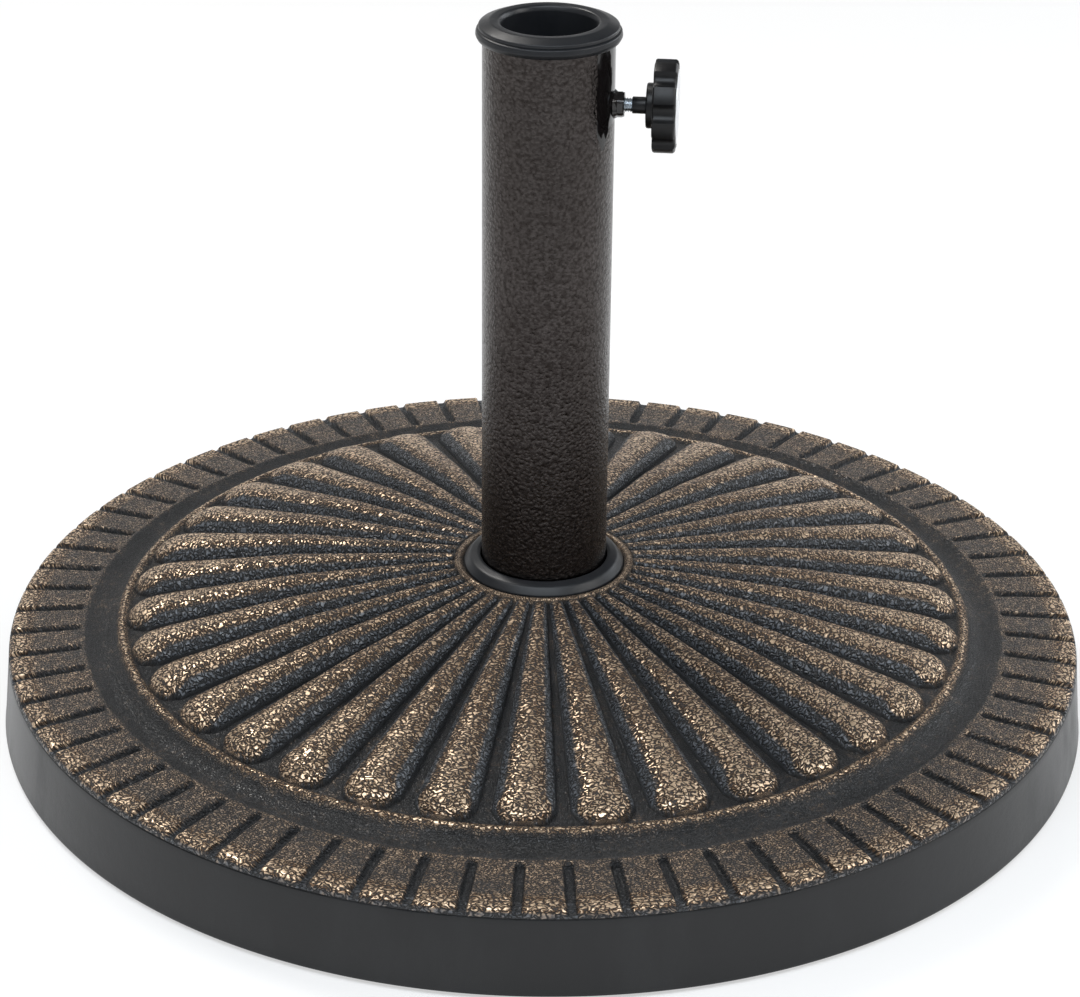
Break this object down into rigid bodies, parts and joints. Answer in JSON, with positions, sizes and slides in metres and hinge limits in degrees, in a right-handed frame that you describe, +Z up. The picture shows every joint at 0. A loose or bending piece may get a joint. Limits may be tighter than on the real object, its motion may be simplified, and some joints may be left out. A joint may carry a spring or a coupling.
{
  "type": "parasol base",
  "caption": "Round weighted parasol base with a fluted bronze-look top, an upright steel tube with a plastic collar and reducer, and a star knob that clamps the pole.",
  "frame": {"origin": "on the floor, under the middle of the tube", "axes": "+Z up along the tube, +X along the clamp screw towards the knob"},
  "size_m": [0.48, 0.48, 0.3139],
  "materials": {
    "bronze_resin": "near-black moulded resin with a hammered grain and antique bronze rubbed on its high spots",
    "cement": "cast cement, rough",
    "black_plastic": "satin black moulded plastic",
    "foot_rubber": "matt black rubber",
    "zinc_steel": "bright zinc plating",
    "hammered_paint": "very dark brown hammer-finish powder coat",
    "knob_plastic": "satin black moulded plastic",
    "silver_insert": "pale silver disc, satin"
  },
  "bodies": {
    "root": {"base_shell": "bronze_resin", "cement_ballast": "cement", "bottom_plate": "black_plastic", "rubber_foot_1": "foot_rubber", "rubber_foot_2": "foot_rubber", "rubber_foot_3": "foot_rubber", "rubber_foot_4": "foot_rubber", "rubber_foot_5": "foot_rubber", "rubber_foot_6": "foot_rubber", "flat_washer": "zinc_steel", "spring_washer": "zinc_steel", "anchor_bolt": "zinc_steel", "anchor_nut": "zinc_steel", "tube_flange": "hammered_paint", "tube_weld": "hammered_paint", "tube": "hammered_paint", "tube_collar": "black_plastic", "clamp_nut": "hammered_paint", "clamp_weld": "hammered_paint"},
    "trim_ring": {"trim_ring": "black_plastic"},
    "pole_reducer": {"pole_reducer": "black_plastic"},
    "clamp_screw": {"clamp_screw": "zinc_steel"},
    "knob": {"knob": "knob_plastic", "knob_disc": "silver_insert"}
  },
  "joints": [
    {"name": "trim_ring_lift", "type": "slide", "parent": "root", "child": "trim_ring", "axis": [0, 0, 1], "range_m": [0, 0.2]},
    {"name": "reducer_lift", "type": "slide", "parent": "root", "child": "pole_reducer", "axis": [0, 0, 1], "range_m": [0, 0.028]},
    {"name": "screw_travel", "type": "slide", "parent": "root", "child": "clamp_screw", "axis": [1, 0, 0], "range_m": [-0.003, 0.009]},
    {"name": "knob_turn", "type": "hinge", "parent": "clamp_screw", "child": "knob", "pos_m": [0.045, 0, 0.2789], "axis": [1, 0, 0], "range_deg": [-1080, 3240]}
  ],
  "couplings": [
    {"joint": "screw_travel", "follows": "knob_turn", "m_per_rad": 0.00015915}
  ]
}
